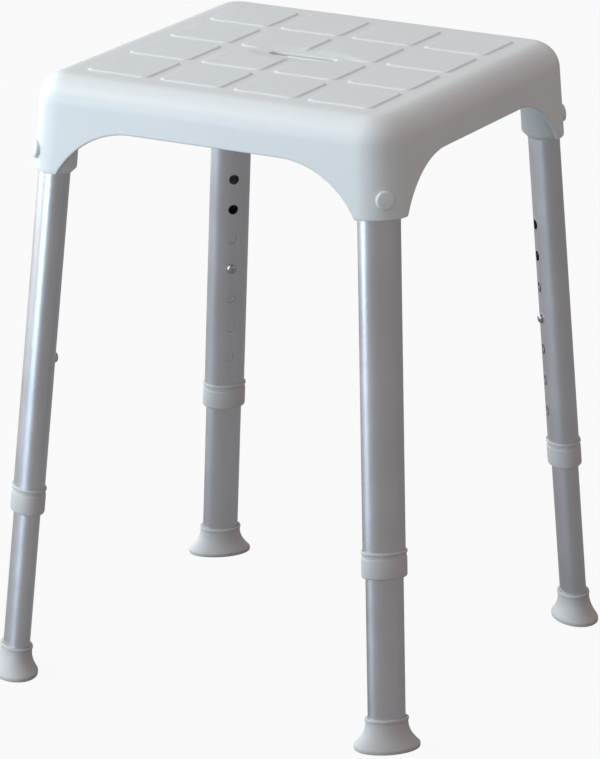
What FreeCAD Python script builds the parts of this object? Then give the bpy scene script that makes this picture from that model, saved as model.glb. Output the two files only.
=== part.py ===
"""Shower stool: a moulded square seat on four splayed, telescoping, oval aluminium legs.

Millimetres. The row frame has +Z up, its origin on the floor below the seat's centre, and the seat's
sides along X and Y. Every leg piece is drawn in its leg's own frame: the origin is where the leg's
axis meets the floor, Z runs up the leg, X points away from the stool's centre and Y runs across.
"""
import FreeCAD, Part
import math
import os
import re

import Sketcher

doc = FreeCAD.newDocument("ShowerStool")

# Driving sizes, in millimetres; leg_lean is in degrees.
SIZES = {
    "seat_width": 295.6,
    "seat_height": 464.0,
    "corner_radius": 25.0,
    "edge_radius": 20.0,
    "shell_wall": 3.0,
    "skirt_depth": 84.0,
    "tile_width": 52.5,
    "tile_pitch": 61.0,
    "tile_rise": 1.0,
    "tile_corner": 6.0,
    "dish_length": 86.0,
    "dish_width": 34.0,
    "dish_depth": 1.0,
    "slot_length": 54.0,
    "slot_width": 9.0,
    "arch_crown": 35.5,
    "arch_flat": 122.0,
    "arch_radius": 71.0,
    "rib_depth": 3.5,
    "rib_wall": 2.4,
    "leg_lean": 5.03,
    "tube_width": 32.0,
    "tube_depth": 23.0,
    "tube_wall": 1.5,
    "tube_clearance": 0.3,
    "outer_tube_length": 319.0,
    "socket_length": 57.4,
    "socket_cover": 16.0,
    "socket_wall": 3.4,
    "socket_inner_wall": 4.3,
    "socket_side_wall": 4.0,
    "socket_chamfer": 4.0,
    "sleeve_rim": 0.5,
    "socket_clearance": 0.05,
    "hole_diameter": 8.0,
    "hole_pitch": 25.0,
    "hole_count": 7,
    "hole_in_use": 4,
    "first_hole": 42.0,
    "inner_tube_head": 36.0,
    "button_clearance": 0.1,
    "button_reach": 2.5,
    "button_flange": 10.6,
    "button_flange_wall": 1.0,
    "button_dome": 2.2,
    "spring_width": 7.6,
    "spring_wall": 0.6,
    "spring_length": 45.0,
    "spring_bend": 3.4,
    "collar_length": 20.0,
    "collar_wall": 1.1,
    "collar_floor": 2.4,
    "collar_band": 0.35,
    "collar_band_height": 3.2,
    "collar_lip": 0.25,
    "collar_lip_height": 2.0,
    "collar_edge": 1.8,
    "foot_height": 23.0,
    "foot_wall": 2.3,
    "foot_rim_height": 2.4,
    "foot_rim": 0.4,
    "foot_width": 50.0,
    "foot_depth": 34.4,
    "foot_lip": 3.4,
    "sole_thickness": 8.0,
    "washer_thickness": 1.5,
    "washer_clearance": 0.3,
    "cap_diameter": 13.6,
    "cap_clearance": 0.15,
    "cap_rise": 2.2,
    "cap_edge": 1.3,
    "cap_recess": 1.6,
    "cap_bore": 9.8,
    "cap_bore_depth": 2.4,
    "cap_height": 15.0,
    "screw_diameter": 4.8,
    "screw_clearance": 0.05,
    "screw_head": 9.0,
    "screw_head_height": 1.8,
    "screw_reach": 6.0,
    "screw_slot": 1.2,
}

# Sizes that follow from the driving ones, written as formulas of their names.
FOLLOWS = {
    "lean": "leg_lean * 1 deg",
    "flare": "tan(lean) / sqrt(2)",
    "leg_top_radius": "sqrt(2) * seat_width / 2 - (sqrt(2) - 1) * corner_radius"
                      " - (socket_wall + tube_depth / 2) / cos(lean)",
    "leg_foot_radius": "leg_top_radius + seat_height * tan(lean)",
    "tube_top": "seat_height / cos(lean) - socket_cover",
    "socket_mouth": "tube_top - socket_length",
    "tube_foot": "tube_top - outer_tube_length",
    "button_place": "tube_foot + first_hole + hole_pitch * (hole_in_use - 1)",
    "inner_top": "button_place + inner_tube_head",
    "inner_foot": "sole_thickness + washer_thickness",
    "bore_width": "tube_width - 2 * tube_wall",
    "bore_depth": "tube_depth - 2 * tube_wall",
    "inner_width": "bore_width - 2 * tube_clearance",
    "inner_depth": "bore_depth - 2 * tube_clearance",
    "core_width": "inner_width - 2 * tube_wall",
    "core_depth": "inner_depth - 2 * tube_wall",
    "flange_face": "core_depth / 2 * sqrt(1 - (button_flange / core_width) ^ 2) - button_clearance",
    "collar_foot": "tube_foot - collar_floor",
    "corner_face": "tube_depth / 2 + socket_wall",
    "recess_floor": "corner_face - cap_recess",
    "cap_place": "socket_mouth + cap_height",
    "foot_rim_foot": "foot_height - foot_rim_height",
}

# Each leg's name and the direction it leans out in, in degrees from +X towards +Y.
LEGS = {"front_left": 225.0, "front_right": 315.0, "back_right": 45.0, "back_left": 135.0}

# The seat's top carries a square grid of tiles, centred on the seat.
TILES_EACH_WAY = 4
FIRST_TILE = "(%g * tile_pitch)" % ((1 - TILES_EACH_WAY) / 2)

# The foot's flare: share of the height from lip to rim, and share of the spread from rim to lip.
FOOT_FLARE = [(1.0, 0.0), (0.64, 0.09), (0.41, 0.30), (0.20, 0.64), (0.0, 1.0)]

WORD = re.compile("[a-z_]+")


def cells(formula):
    """A formula with every size's name written as a reference to its cell."""

    def cell(found):
        name = found.group()
        if name in SIZES:
            return "Sizes." + name
        if name in FOLLOWS:
            return "(" + cells(FOLLOWS[name]) + ")"
        return name

    return WORD.sub(cell, formula)


def value(formula):
    """The number that a formula of the sheet's sizes comes to now."""
    return float(sheet.evalExpression(cells(formula)))


def bind(thing, path, formula):
    thing.setExpression(path, cells(formula))


sheet = doc.addObject("Spreadsheet::Sheet", "Sizes")
for row, (alias, number) in enumerate(SIZES.items(), start=1):
    sheet.set("A%d" % row, str(number))
    sheet.setAlias("A%d" % row, alias)
doc.recompute()


# ---------------------------------------------------------------- bodies and sketches

def origin_part(body, role):
    return next(part for part in body.Origin.OriginFeatures if part.Role == role)


def new_body(label):
    body = doc.addObject("PartDesign::Body", label)
    body.Label = label
    return body


def new_sketch(body, name, plane="XY_Plane", lift="0"):
    """A sketch on one of the body's own planes, lifted along that plane's normal."""
    sketch = body.newObject("Sketcher::SketchObject", name)
    sketch.AttachmentSupport = [(origin_part(body, plane), "")]
    sketch.MapMode = "FlatFace"
    bind(sketch, "AttachmentOffset.Base.z", lift)
    return sketch


def constrain(sketch, *what):
    return sketch.addConstraint(Sketcher.Constraint(*what))


def dimension(sketch, formula, *what):
    """A constraint whose size follows a formula."""
    index = constrain(sketch, *what, value(formula))
    bind(sketch, "Constraints[%d]" % index, formula)


def draw_oval(sketch, across, outward, inwards="0"):
    """An ellipse: across is its full size along Y, outward along X; inwards is its centre's offset to -X."""
    middle = FreeCAD.Vector(-value(inwards), 0, 0)
    ends = [
        middle + FreeCAD.Vector(0, value(across) / 2, 0),
        middle + FreeCAD.Vector(value(outward) / 2, 0, 0),
    ]
    sizes = [across, outward]
    directions = ["Vertical", "Horizontal"]
    if value(outward) > value(across):
        for pair in (ends, sizes, directions):
            pair.reverse()
    oval = sketch.addGeometry(Part.Ellipse(*ends, middle), False)
    sketch.exposeInternalGeometry(oval)
    constrain(sketch, directions[0], oval + 1)
    dimension(sketch, sizes[0], "Distance", oval + 1)
    dimension(sketch, sizes[1], "Distance", oval + 2)
    if inwards == "0":
        constrain(sketch, "Coincident", oval, 3, -1, 1)
    else:
        constrain(sketch, "PointOnObject", oval, 3, -1)
        dimension(sketch, inwards, "DistanceX", oval, 3, -1, 1)


def draw_circle(sketch, diameter, height="0"):
    """A circle on the sketch's vertical axis."""
    centre = FreeCAD.Vector(0, value(height), 0)
    circle = sketch.addGeometry(Part.Circle(centre, FreeCAD.Vector(0, 0, 1), value(diameter) / 2), False)
    dimension(sketch, diameter, "Diameter", circle)
    if height == "0":
        constrain(sketch, "Coincident", circle, 3, -1, 1)
    else:
        constrain(sketch, "PointOnObject", circle, 3, -2)
        dimension(sketch, height, "DistanceY", -1, 1, circle, 3)


def draw_rounded_rectangle(sketch, width, depth, radius, centre=None):
    """A rectangle with round corners, about the origin or about a centre given by two formulas."""
    across = value(width) / 2 - value(radius)
    along = value(depth) / 2 - value(radius)
    bend = value(radius)
    middle = FreeCAD.Vector(value(centre[0]), value(centre[1]), 0) if centre else FreeCAD.Vector()
    arcs = []
    for quarter, (side, end) in enumerate([(1, 1), (-1, 1), (-1, -1), (1, -1)]):
        corner = middle + FreeCAD.Vector(side * across, end * along, 0)
        circle = Part.Circle(corner, FreeCAD.Vector(0, 0, 1), bend)
        start = quarter * math.pi / 2
        arcs.append(sketch.addGeometry(Part.ArcOfCircle(circle, start, start + math.pi / 2), False))
    for quarter in range(4):
        arc, following = arcs[quarter], arcs[(quarter + 1) % 4]
        ends = sketch.getPoint(arc, 2), sketch.getPoint(following, 1)
        line = sketch.addGeometry(Part.LineSegment(*ends), False)
        constrain(sketch, "Tangent", arc, 2, line, 1)
        constrain(sketch, "Tangent", line, 2, following, 1)
        constrain(sketch, "Horizontal" if quarter % 2 == 0 else "Vertical", line)
    for arc in arcs[1:]:
        constrain(sketch, "Equal", arcs[0], arc)
    dimension(sketch, radius, "Radius", arcs[0])
    dimension(sketch, "%s - 2 * %s" % (width, radius), "DistanceX", arcs[1], 3, arcs[0], 3)
    dimension(sketch, "%s - 2 * %s" % (depth, radius), "DistanceY", arcs[3], 3, arcs[0], 3)
    if centre:
        reach = "(%s) + (%s) / 2 - (%s)"
        dimension(sketch, reach % (centre[0], width, radius), "DistanceX", -1, 1, arcs[0], 3)
        dimension(sketch, reach % (centre[1], depth, radius), "DistanceY", -1, 1, arcs[0], 3)
    else:
        constrain(sketch, "Symmetric", arcs[0], 3, arcs[2], 3, -1, 1)


# ---------------------------------------------------------------- features

def finish_feature(body, feature, adds):
    """Recomputes, and stops if the feature failed or changed the body's volume the wrong way."""
    before = body.Tip.Shape.Volume if body.Tip and body.Tip is not feature else 0.0
    body.Tip = feature
    doc.recompute()
    change = feature.Shape.Volume - before
    if (change <= 0) if adds else (change >= 0):
        raise RuntimeError("%s changes the volume by %.1f" % (feature.Name, change))
    return feature


def new_feature(body, kind, name):
    tip = body.Tip
    feature = body.newObject("PartDesign::" + kind, name)
    body.Tip = tip
    return feature


def pad(body, name, sketch, length, reverse=False, taper=0.0, symmetric=False):
    feature = new_feature(body, "Pad", name)
    feature.Profile = sketch
    feature.Reversed = reverse
    feature.TaperAngle = taper
    feature.SideType = "Symmetric" if symmetric else "One side"
    bind(feature, "Length", length)
    return finish_feature(body, feature, adds=True)


def pocket(body, name, sketch, length=None, reverse=False, symmetric=False):
    """Cuts against the sketch's normal, or along it if reversed; without a length, through all."""
    feature = new_feature(body, "Pocket", name)
    feature.Profile = sketch
    feature.Reversed = reverse
    feature.SideType = "Symmetric" if symmetric else "One side"
    if length:
        bind(feature, "Length", length)
    else:
        feature.Type = "ThroughAll"
    return finish_feature(body, feature, adds=False)


def loft(body, name, sections, ruled, subtract=False):
    feature = new_feature(body, "SubtractiveLoft" if subtract else "AdditiveLoft", name)
    feature.Profile = sections[0]
    feature.Sections = sections[1:]
    feature.Ruled = ruled
    return finish_feature(body, feature, adds=not subtract)


def turn_round(body, name, originals, adds):
    """The same features at all four corners."""
    feature = new_feature(body, "PolarPattern", name)
    feature.Originals = originals
    feature.Axis = (origin_part(body, "Z_Axis"), [""])
    feature.Angle = 360
    feature.Occurrences = len(LEGS)
    return finish_feature(body, feature, adds)


def repeat(body, name, original, axis, pitch, count):
    """A row of copies, one pitch apart."""
    feature = new_feature(body, "LinearPattern", name)
    feature.Originals = [original]
    feature.Direction = (origin_part(body, axis), [""])
    feature.Mode = "Spacing"
    bind(feature, "Offset", pitch)
    feature.Occurrences = count
    return finish_feature(body, feature, adds=True)


def edges_at(body, test):
    """Names of the edges whose every point passes the test."""
    names = []
    for index, edge in enumerate(body.Tip.Shape.Edges, start=1):
        points = edge.discretize(5)
        if all(test(point) for point in points):
            names.append("Edge%d" % index)
    return names


def fillet(body, name, radius, test, adds=False):
    base = body.Tip
    names = edges_at(body, test)
    if not names:
        raise RuntimeError("%s finds no edge" % name)
    feature = new_feature(body, "Fillet", name)
    feature.Base = (base, names)
    bind(feature, "Radius", radius)
    return finish_feature(body, feature, adds)


def near(number, target):
    return abs(number - target) < 0.01


# ---------------------------------------------------------------- the seat

def width_below(depth):
    """The seat's outer width at a depth below its top: the skirt flares in line with the legs."""
    return "seat_width + 2 * (%s) * flare" % depth


def corner_sketch(body, name, station):
    """A sketch across one corner's leg, at a station along that leg's axis."""
    sketch = new_sketch(body, name)
    turn = LEGS["back_right"]
    outward = FreeCAD.Rotation(FreeCAD.Vector(0, 0, 1), turn)
    tilt = FreeCAD.Rotation(FreeCAD.Vector(0, 1, 0), -value("leg_lean"))
    sketch.AttachmentOffset = FreeCAD.Placement(FreeCAD.Vector(), outward * tilt)
    radius = "(leg_foot_radius - (%s) * sin(lean))" % station
    bind(sketch, "AttachmentOffset.Base.x", "%s * cos(%g deg)" % (radius, turn))
    bind(sketch, "AttachmentOffset.Base.y", "%s * sin(%g deg)" % (radius, turn))
    bind(sketch, "AttachmentOffset.Base.z", "(%s) * cos(lean)" % station)
    return sketch


def face_sketch(body, name, station, reach):
    """A sketch facing outwards from one corner's leg, reach away from the leg's axis."""
    sketch = new_sketch(body, name)
    turn = LEGS["back_right"]
    outward = FreeCAD.Rotation(FreeCAD.Vector(0, 0, 1), turn)
    facing = FreeCAD.Rotation(FreeCAD.Vector(0, 1, 0), 90 - value("leg_lean"))
    sketch.AttachmentOffset = FreeCAD.Placement(FreeCAD.Vector(), outward * facing)
    radius = "(leg_foot_radius - (%s) * sin(lean) + (%s) * cos(lean))" % (station, reach)
    bind(sketch, "AttachmentOffset.Base.x", "%s * cos(%g deg)" % (radius, turn))
    bind(sketch, "AttachmentOffset.Base.y", "%s * sin(%g deg)" % (radius, turn))
    bind(sketch, "AttachmentOffset.Base.z", "(%s) * cos(lean) + (%s) * sin(lean)" % (station, reach))
    return sketch


def outline(body, name, depth, inset="0"):
    """The seat's square outline at a depth below its top, or that outline moved in by a wall."""
    sketch = new_sketch(body, name, lift="seat_height - (%s)" % depth)
    width = "(%s - 2 * (%s))" % (width_below(depth), inset)
    draw_rounded_rectangle(sketch, width, width, "(corner_radius - (%s))" % inset)
    return sketch


def make_shell(body):
    """A solid block hollowed from below, so that the top and the four skirt walls are left."""
    block = [outline(body, "TopOutline", "0"), outline(body, "SkirtOutline", "skirt_depth")]
    loft(body, "Block", block, ruled=True)
    hollow = [
        outline(body, "CeilingOutline", "shell_wall", "shell_wall"),
        outline(body, "MouthOutline", "skirt_depth", "shell_wall"),
    ]
    loft(body, "Hollow", hollow, ruled=True, subtract=True)
    ceiling = value("seat_height - shell_wall")
    fillet(body, "CeilingFillet", "edge_radius - shell_wall", lambda p: near(p.z, ceiling), adds=True)


def draw_arch(sketch):
    """Everything below one arch: a level crown between two quarter circles, closed by a level line."""
    half = value("arch_flat / 2")
    bend = value("arch_radius")
    crown = value("seat_height - arch_crown")
    up = FreeCAD.Vector(0, 0, 1)
    right = Part.Circle(FreeCAD.Vector(half, crown - bend, 0), up, bend)
    left = Part.Circle(FreeCAD.Vector(-half, crown - bend, 0), up, bend)
    right_arc = sketch.addGeometry(Part.ArcOfCircle(right, 0, math.pi / 2), False)
    left_arc = sketch.addGeometry(Part.ArcOfCircle(left, math.pi / 2, math.pi), False)
    ends = sketch.getPoint(right_arc, 2), sketch.getPoint(left_arc, 1)
    crown_line = sketch.addGeometry(Part.LineSegment(*ends), False)
    ends = sketch.getPoint(left_arc, 2), sketch.getPoint(right_arc, 1)
    base_line = sketch.addGeometry(Part.LineSegment(*ends), False)
    constrain(sketch, "Tangent", right_arc, 2, crown_line, 1)
    constrain(sketch, "Tangent", crown_line, 2, left_arc, 1)
    constrain(sketch, "Coincident", left_arc, 2, base_line, 1)
    constrain(sketch, "Coincident", base_line, 2, right_arc, 1)
    constrain(sketch, "Horizontal", base_line)
    constrain(sketch, "PointOnObject", right_arc, 3, base_line)
    constrain(sketch, "PointOnObject", left_arc, 3, base_line)
    constrain(sketch, "Equal", right_arc, left_arc)
    dimension(sketch, "arch_radius", "Radius", right_arc)
    dimension(sketch, "arch_flat / 2", "DistanceX", -1, 1, right_arc, 3)
    dimension(sketch, "arch_flat / 2", "DistanceX", left_arc, 3, -1, 1)
    dimension(sketch, "seat_height - arch_crown", "DistanceY", -1, 1, crown_line, 1)


def cut_arches(body):
    for plane in ("XZ_Plane", "YZ_Plane"):
        sketch = new_sketch(body, "Arch" + plane[:2], plane)
        draw_arch(sketch)
        pocket(body, "ArchCut" + plane[:2], sketch, symmetric=True)


def add_ribs(body):
    """Ribs each way below the top, each in line with the middle of a row of tiles."""
    lift = "seat_height - shell_wall - rib_depth"
    span = "(%s - shell_wall)" % width_below("shell_wall + rib_depth")
    height = "rib_depth + shell_wall / 2"
    start = FIRST_TILE
    for name, across, along, centre, axis in [
        ("RibX", span, "rib_wall", ("0", start), "Y_Axis"),
        ("RibY", "rib_wall", span, (start, "0"), "X_Axis"),
    ]:
        sketch = new_sketch(body, name, lift=lift)
        draw_rounded_rectangle(sketch, across, along, "(rib_wall / 4)", centre)
        first = pad(body, name + "Pad", sketch, height)
        repeat(body, name + "Row", first, axis, "tile_pitch", TILES_EACH_WAY)


def add_sockets(body):
    """Each corner ends square across its leg, and holds an oval sleeve with a blind bore."""
    sketch = corner_sketch(body, "CornerEnd", "socket_mouth")
    draw_circle(sketch, "2 * (tube_width + corner_radius)")
    trim = pocket(body, "CornerTrim", sketch)
    turn_round(body, "CornerTrims", [trim], adds=False)

    across = "(tube_width + 2 * socket_side_wall)"
    outward = "(tube_depth + socket_inner_wall + sleeve_rim)"
    inwards = "((socket_inner_wall - sleeve_rim) / 2)"
    mouth = corner_sketch(body, "SleeveMouth", "socket_mouth")
    draw_oval(mouth, "(tube_width + 2 * sleeve_rim)", "(tube_depth + 2 * sleeve_rim)")
    waist = corner_sketch(body, "SleeveWaist", "socket_mouth + socket_chamfer")
    draw_oval(waist, across, outward, inwards)
    cone = loft(body, "SleeveCone", [mouth, waist], ruled=True)
    top = corner_sketch(body, "SleeveRoot", "socket_mouth + socket_chamfer")
    draw_oval(top, across, outward, inwards)
    sleeve = pad(body, "Sleeve", top, "socket_length + socket_cover - socket_chamfer - shell_wall")
    turn_round(body, "Sleeves", [cone, sleeve], adds=True)

    sketch = corner_sketch(body, "SocketBore", "socket_mouth")
    draw_oval(sketch, "tube_width + 2 * socket_clearance", "tube_depth + 2 * socket_clearance")
    bore = pocket(body, "SocketBoreCut", sketch, "socket_length", reverse=True)
    turn_round(body, "SocketBores", [bore], adds=False)


def round_top(body):
    top = value("seat_height")
    fillet(body, "TopFillet", "edge_radius", lambda p: near(p.z, top))


def add_tiles(body):
    """Rows of low raised tiles with sloping edges."""
    for row in range(TILES_EACH_WAY):
        sketch = new_sketch(body, "Tile%d" % (row + 1), lift="seat_height")
        centre = (FIRST_TILE, "(%s + %d * tile_pitch)" % (FIRST_TILE, row))
        draw_rounded_rectangle(sketch, "tile_width", "tile_width", "tile_corner", centre)
        first = pad(body, "TilePad%d" % (row + 1), sketch, "tile_rise", taper=-45.0)
        repeat(body, "TileRow%d" % (row + 1), first, "X_Axis", "tile_pitch", TILES_EACH_WAY)


def cut_slot(body):
    """The drain slot in its shallow dish."""
    sketch = new_sketch(body, "Dish", lift="seat_height + tile_rise")
    draw_oval(sketch, "dish_width", "dish_length")
    pocket(body, "DishCut", sketch, "tile_rise + dish_depth")
    sketch = new_sketch(body, "Slot", lift="seat_height + tile_rise")
    draw_rounded_rectangle(sketch, "slot_length", "slot_width", "(0.49 * slot_width)")
    pocket(body, "SlotCut", sketch)


def cut_cap_seats(body):
    sketch = face_sketch(body, "CapSeat", "cap_place", "corner_face + shell_wall")
    draw_circle(sketch, "cap_diameter + 2 * cap_clearance")
    seat = pocket(body, "CapSeatCut", sketch, "cap_recess + shell_wall")
    turn_round(body, "CapSeats", [seat], adds=False)
    sketch = face_sketch(body, "ScrewHole", "cap_place", "corner_face")
    draw_circle(sketch, "screw_diameter + 2 * screw_clearance")
    hole = pocket(body, "ScrewHoleCut", sketch, "corner_face - tube_depth / 4")
    turn_round(body, "ScrewHoles", [hole], adds=False)


def make_seat_shell():
    body = new_body("seat_shell")
    make_shell(body)
    cut_arches(body)
    add_ribs(body)
    add_sockets(body)
    round_top(body)
    add_tiles(body)
    cut_slot(body)
    cut_cap_seats(body)
    return body


# ---------------------------------------------------------------- one leg's pieces

def stand(body, turn):
    """Puts a leg piece where its leg stands."""
    outward = FreeCAD.Rotation(FreeCAD.Vector(0, 0, 1), turn)
    tilt = FreeCAD.Rotation(FreeCAD.Vector(0, 1, 0), -value("leg_lean"))
    body.Placement = FreeCAD.Placement(FreeCAD.Vector(), outward * tilt)
    bind(body, "Placement.Base.x", "leg_foot_radius * cos(%g deg)" % turn)
    bind(body, "Placement.Base.y", "leg_foot_radius * sin(%g deg)" % turn)
    return body


def oval_block(body, name, station, across, outward, length):
    sketch = new_sketch(body, name, lift=station)
    draw_oval(sketch, across, outward)
    return pad(body, name + "Pad", sketch, length)


def oval_bore(body, name, station, across, outward, length=None):
    """An oval hole that goes up from a station, or right through without a length."""
    sketch = new_sketch(body, name, lift=station)
    draw_oval(sketch, across, outward)
    if length:
        return pocket(body, name + "Cut", sketch, length, reverse=True)
    return pocket(body, name + "Cut", sketch, symmetric=True)


def side_hole(body, name, diameter, station, outer_side=False):
    """A round hole through one wall of a tube: the wall that faces the stool's centre, or the outer."""
    sketch = new_sketch(body, name, "YZ_Plane")
    draw_circle(sketch, diameter, station)
    return pocket(body, name + "Cut", sketch, "tube_depth", reverse=outer_side)


def make_outer_tube(leg):
    body = new_body("outer_tube_" + leg)
    oval_block(body, "Outside", "tube_foot", "tube_width", "tube_depth", "outer_tube_length")
    oval_bore(body, "Inside", "tube_foot", "bore_width", "bore_depth")
    for hole in range(int(value("hole_count"))):
        station = "tube_foot + first_hole + %d * hole_pitch" % hole
        side_hole(body, "AdjustHole%d" % (hole + 1), "hole_diameter", station)
    side_hole(body, "ScrewHole", "screw_diameter + 2 * screw_clearance", "cap_place", outer_side=True)
    return body


def make_inner_tube(leg):
    body = new_body("inner_tube_" + leg)
    oval_block(body, "Outside", "inner_foot", "inner_width", "inner_depth", "inner_top - inner_foot")
    oval_bore(body, "Inside", "inner_foot", "core_width", "core_depth")
    side_hole(body, "ButtonHole", "hole_diameter", "button_place")
    return body


def make_collar(leg):
    """A guide bush: it fits over the outer tube's end, and its floor guides the inner tube."""
    body = new_body("collar_" + leg)
    size = ["tube_width + 2 * (%s)", "tube_depth + 2 * (%s)"]
    levels = [
        ("Sleeve", "collar_wall", "collar_length - collar_band_height - collar_lip_height"),
        ("Band", "collar_wall - collar_band", "collar_band_height"),
        ("Lip", "collar_wall + collar_lip", "collar_lip_height"),
    ]
    station = "collar_foot"
    for name, wall, height in levels:
        oval_block(body, name, station, size[0] % wall, size[1] % wall, height)
        station = "%s + %s" % (station, height)
    foot = value("collar_foot")
    fillet(body, "FootFillet", "collar_edge", lambda p: near(p.z, foot))
    top = value(station)
    fillet(body, "LipFillet", "collar_lip_height / 4", lambda p: near(p.z, top))
    oval_bore(body, "Seat", "tube_foot", "tube_width", "tube_depth", "collar_length")
    guide = ["inner_width + 2 * tube_clearance", "inner_depth + 2 * tube_clearance"]
    oval_bore(body, "Guide", "collar_foot", *guide)
    return body


def foot_section(body, name, rise, spread):
    """An oval across the foot: level at the lip, square to the leg at the rim."""
    height = "(foot_lip + %g * (foot_rim_foot - foot_lip))" % rise
    level = 1 - rise
    sketch = new_sketch(body, name, lift="%s * (1 + %g * (1 / cos(lean) - 1))" % (height, level))
    sketch.AttachmentOffset = FreeCAD.Placement(
        sketch.AttachmentOffset.Base,
        FreeCAD.Rotation(FreeCAD.Vector(0, 1, 0), level * value("leg_lean")),
    )
    rim_width = "(inner_width + 2 * (foot_wall - foot_rim))"
    rim_depth = "(inner_depth + 2 * (foot_wall - foot_rim))"
    draw_oval(
        sketch,
        "(%s + %g * (foot_width - %s))" % (rim_width, spread, rim_width),
        "(%s + %g * (foot_depth - %s))" % (rim_depth, spread, rim_depth),
    )
    return sketch


def make_foot(leg):
    """A rubber ferrule with a flared skirt and a level sole."""
    body = new_body("foot_" + leg)
    sections = []
    for index, (rise, spread) in enumerate(FOOT_FLARE):
        sections.append(foot_section(body, "Flare%d" % index, rise, spread))
    loft(body, "Flare", sections, ruled=False)
    sole = new_sketch(body, "Sole")
    level = FreeCAD.Rotation(FreeCAD.Vector(0, 1, 0), value("leg_lean"))
    sole.AttachmentOffset = FreeCAD.Placement(FreeCAD.Vector(), level)
    bind(sole, "AttachmentOffset.Base.x", "-foot_lip * sin(lean)")
    bind(sole, "AttachmentOffset.Base.z", "foot_lip * (1 / cos(lean) - cos(lean))")
    draw_oval(sole, "foot_width", "foot_depth")
    pad(body, "SolePad", sole, "foot_lip")
    rim = ["inner_width + 2 * foot_wall", "inner_depth + 2 * foot_wall"]
    oval_block(body, "Rim", "foot_rim_foot", *rim, "foot_rim_height")
    top = value("foot_height")
    fillet(body, "RimFillet", "foot_rim_height / 4", lambda p: near(p.z, top))
    oval_bore(body, "Bore", "sole_thickness", "inner_width", "inner_depth", "foot_height")
    return body


def make_foot_washer(leg):
    body = new_body("foot_washer_" + leg)
    size = ["inner_width - 2 * washer_clearance", "inner_depth - 2 * washer_clearance"]
    oval_block(body, "Plate", "sole_thickness", *size, "washer_thickness")
    return body


def disc(body, name, reach, diameter, station, length, inwards=False):
    """A round block on an axis that points out of the leg, from a plane reach away from the leg."""
    sketch = new_sketch(body, name, "YZ_Plane", reach)
    draw_circle(sketch, diameter, station)
    return pad(body, name + "Pad", sketch, length, reverse=inwards)


def make_snap_button(leg):
    """A domed pin on a flange: the flange stays inside the inner tube."""
    body = new_body("snap_button_" + leg)
    station = "button_place"
    disc(body, "Flange", "-flange_face", "button_flange", station, "button_flange_wall")
    pin = "hole_diameter - 2 * button_clearance"
    reach = "tube_depth / 2 + button_reach - flange_face"
    disc(body, "Pin", "-flange_face", pin, station, reach, inwards=True)
    tip = value("-(tube_depth / 2 + button_reach)")
    fillet(body, "Dome", "button_dome", lambda p: near(p.x, tip))
    return body


def make_button_spring(leg):
    """A leaf spring bent to a V: one arm behind the button, the other along the far wall."""
    body = new_body("button_spring_" + leg)
    far = "(core_depth / 2 * sqrt(1 - (spring_width / core_width) ^ 2) - spring_wall / 2)"
    near_arm = "(flange_face - button_flange_wall - spring_wall)"
    head = "(button_place + button_flange / 2)"
    bend_height = "(%s - spring_length)" % head
    spine = new_sketch(body, "Spine", "XZ_Plane")
    centre = FreeCAD.Vector(value(far + " - spring_bend"), value(bend_height), 0)
    circle = Part.Circle(centre, FreeCAD.Vector(0, 0, 1), value("spring_bend"))
    slope = math.atan2(value(far + " + " + near_arm) - 2 * value("spring_bend"), value("spring_length"))
    far_arm = spine.addGeometry(
        Part.LineSegment(
            FreeCAD.Vector(value(far), value(head), 0), FreeCAD.Vector(value(far), value(bend_height), 0)
        ),
        False,
    )
    bend = spine.addGeometry(Part.ArcOfCircle(circle, math.pi - slope, 2 * math.pi), False)
    arm = spine.addGeometry(
        Part.LineSegment(spine.getPoint(bend, 1), FreeCAD.Vector(-value(near_arm), value(head), 0)), False
    )
    constrain(spine, "Vertical", far_arm)
    constrain(spine, "Tangent", far_arm, 2, bend, 2)
    constrain(spine, "Tangent", bend, 1, arm, 1)
    dimension(spine, "spring_bend", "Radius", bend)
    dimension(spine, far, "DistanceX", -1, 1, far_arm, 1)
    dimension(spine, head, "DistanceY", -1, 1, far_arm, 1)
    dimension(spine, bend_height, "DistanceY", -1, 1, bend, 3)
    dimension(spine, near_arm, "DistanceX", arm, 2, -1, 1)
    dimension(spine, head, "DistanceY", -1, 1, arm, 2)
    strip = new_sketch(body, "Strip", lift=head)
    centre = (far, "0")
    draw_rounded_rectangle(strip, "spring_wall", "spring_width", "(0.2 * spring_wall)", centre)
    feature = new_feature(body, "AdditivePipe", "Leaf")
    feature.Profile = strip
    feature.Spine = spine
    finish_feature(body, feature, adds=True)
    return body


def make_cover_cap(leg):
    """A round cap that hides the screw's head."""
    body = new_body("cover_cap_" + leg)
    disc(body, "Disc", "recess_floor", "cap_diameter", "cap_place", "cap_recess + cap_rise")
    face = value("corner_face + cap_rise")
    fillet(body, "CapFillet", "cap_edge", lambda p: near(p.x, face))
    sketch = new_sketch(body, "Hollow", "YZ_Plane", "recess_floor")
    draw_circle(sketch, "cap_bore", "cap_place")
    pocket(body, "HollowCut", sketch, "cap_bore_depth", reverse=True)
    return body


def make_socket_screw(leg):
    """A thread-forming screw with a low slotted head; its shank is drawn plain."""
    body = new_body("socket_screw_" + leg)
    disc(body, "Head", "recess_floor", "screw_head", "cap_place", "screw_head_height")
    face = value("recess_floor + screw_head_height")
    fillet(body, "HeadFillet", "screw_head_height / 3", lambda p: near(p.x, face))
    length = "recess_floor - screw_reach"
    disc(body, "Shank", "recess_floor", "screw_diameter", "cap_place", length, inwards=True)
    sketch = new_sketch(body, "DriveSlot", "YZ_Plane", "recess_floor + screw_head_height")
    centre = ("0", "cap_place")
    draw_rounded_rectangle(sketch, "(0.7 * screw_head)", "screw_slot", "(0.3 * screw_slot)", centre)
    pocket(body, "DriveSlotCut", sketch, "screw_head_height / 2")
    return body


# ---------------------------------------------------------------- assembly, checks and files

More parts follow.
